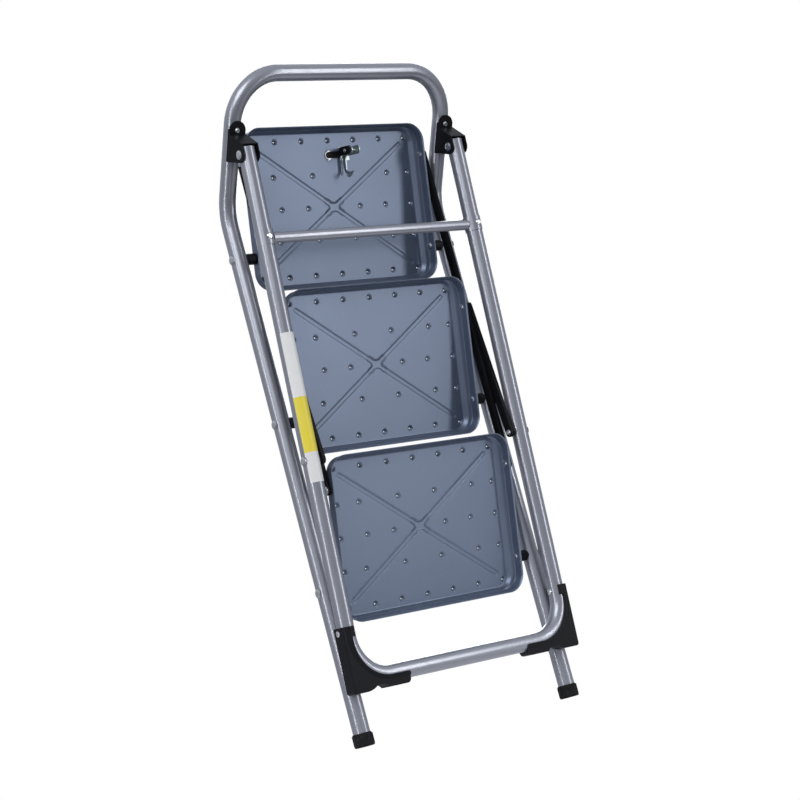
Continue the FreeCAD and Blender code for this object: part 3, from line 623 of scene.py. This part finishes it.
# Area lights: name, place, size, power; all aim at the ladder's middle.
LIGHT_AIM = (0, 0, 0.5)
LIGHTS = (
    ("key", (2.6, 2.2, 2.6), (2.4, 2.4), 60),
    ("right_strip", (-1.9, 2.6, 0.7), (0.3, 2.6), 22),
    ("left_strip", (3.1, 0.5, 0.7), (0.22, 2.6), 16),
    ("fill", (-2.2, -2.4, 2.2), (2.0, 2.0), 40),
)


def add_camera():
    az = math.radians(PHOTO_VIEW["azimuth"])
    el = math.radians(PHOTO_VIEW["elevation"])
    roll = math.radians(PHOTO_VIEW["roll"])
    back = Vector((math.sin(az) * math.cos(el), math.cos(az) * math.cos(el), math.sin(el)))
    right = (-back).cross(Vector((0, 0, 1))).normalized()
    down = (-back).cross(right)
    rolled_right = math.cos(roll) * right + math.sin(roll) * down
    rolled_down = -math.sin(roll) * right + math.cos(roll) * down
    data = bpy.data.cameras.new("camera")
    data.lens = PHOTO_VIEW["lens"]
    data.sensor_width = PHOTO_VIEW["sensor"]
    data.shift_x, data.shift_y = PHOTO_VIEW["shift"]
    data.clip_end = PHOTO_VIEW["far"]
    camera = bpy.data.objects.new("camera", data)
    place = Vector(PHOTO_VIEW["target"]) + back * PHOTO_VIEW["distance"]
    turn = Matrix((rolled_right, -rolled_down, back)).transposed().to_4x4()
    camera.matrix_world = Matrix.Translation(place) @ turn
    bpy.context.scene.collection.objects.link(camera)
    bpy.context.scene.camera = camera


def add_floor():
    """Pale floor under the feet, seen only from above so that the low camera looks past it."""
    mesh = bmesh.new()
    bmesh.ops.create_circle(mesh, cap_ends=True, segments=96, radius=FLOOR_RADIUS)
    bmesh.ops.recalc_face_normals(mesh, faces=mesh.faces)
    for face in mesh.faces:
        if face.normal.z < 0:
            face.normal_flip()
    data = bpy.data.meshes.new("floor")
    mesh.to_mesh(data)
    mesh.free()
    n = Nodes("floor")
    cloud = n.noise(3.0, 3.0, 0.5)
    n.finish(Base_Color=n.mix(cloud, (0.80, 0.80, 0.80, 1), (0.84, 0.84, 0.84, 1)), Roughness=0.8)
    clear = n.add("ShaderNodeBsdfTransparent")
    side = n.add("ShaderNodeNewGeometry").outputs["Backfacing"]
    reach = n.add("ShaderNodeVectorMath", operation="LENGTH")
    n.feed(reach.inputs[0], n.coords)
    fade = n.add("ShaderNodeMapRange", interpolation_type="SMOOTHSTEP", Value=reach.outputs["Value"])
    fade.inputs["From Min"].default_value = FLOOR_FADE[0]
    fade.inputs["From Max"].default_value = FLOOR_FADE[1]
    gone = n.add("ShaderNodeMath", operation="MAXIMUM")
    n.feed(gone.inputs[0], side)
    n.feed(gone.inputs[1], fade.outputs["Result"])
    blend = n.add("ShaderNodeMixShader", Fac=gone.outputs[0])
    n.feed(blend.inputs[1], n.bsdf.outputs[0])
    n.feed(blend.inputs[2], clear.outputs[0])
    output = next(node for node in n.tree.nodes if node.type == "OUTPUT_MATERIAL")
    n.feed(output.inputs["Surface"], blend.outputs[0])
    floor = add_object("floor", data, n.material)
    floor.location.z = -FLOOR_DROP


def add_light(name, place, size, power):
    data = bpy.data.lights.new(name, "AREA")
    data.shape = "RECTANGLE"
    data.size, data.size_y = size
    data.energy = power
    light = bpy.data.objects.new(name, data)
    light.location = place
    light.rotation_euler = (Vector(LIGHT_AIM) - Vector(place)).to_track_quat("-Z", "Y").to_euler()
    bpy.context.scene.collection.objects.link(light)


def add_world():
    """White backdrop for the camera; a grey room, dark below and pale above, for reflections."""
    world = bpy.data.worlds.new("studio")
    bpy.context.scene.world = world
    world.use_nodes = True
    tree = world.node_tree
    tree.nodes.clear()
    direction = tree.nodes.new("ShaderNodeTexCoord").outputs["Generated"]
    split = tree.nodes.new("ShaderNodeSeparateXYZ")
    tree.links.new(direction, split.inputs[0])
    ramp = tree.nodes.new("ShaderNodeValToRGB")
    height = tree.nodes.new("ShaderNodeMapRange")
    height.inputs["From Min"].default_value = -1.0
    tree.links.new(split.outputs["Z"], height.inputs["Value"])
    tree.links.new(height.outputs["Result"], ramp.inputs["Fac"])
    for element, (position, color) in zip(ramp.color_ramp.elements, (ROOM_LOW, ROOM_HIGH)):
        element.position = position
        element.color = color
    room = tree.nodes.new("ShaderNodeBackground")
    tree.links.new(ramp.outputs["Color"], room.inputs["Color"])
    room.inputs["Strength"].default_value = ROOM_STRENGTH
    white = tree.nodes.new("ShaderNodeBackground")
    white.inputs["Color"].default_value = (1, 1, 1, 1)
    white.inputs["Strength"].default_value = 1.0
    path = tree.nodes.new("ShaderNodeLightPath")
    mix = tree.nodes.new("ShaderNodeMixShader")
    tree.links.new(path.outputs["Is Camera Ray"], mix.inputs["Fac"])
    tree.links.new(room.outputs[0], mix.inputs[1])
    tree.links.new(white.outputs[0], mix.inputs[2])
    output = tree.nodes.new("ShaderNodeOutputWorld")
    tree.links.new(mix.outputs[0], output.inputs["Surface"])


def add_studio():
    add_camera()
    add_floor()
    add_world()
    for light in LIGHTS:
        add_light(*light)
    bpy.context.scene.view_settings.view_transform = "Standard"


paint_cad_nodes()
build_tread("lower", "lower_tread_fold", "lower_tread")
build_tread("middle", "middle_tread_fold", "middle_tread")
build_tread("platform", "platform_fold", "platform")
add_studio()
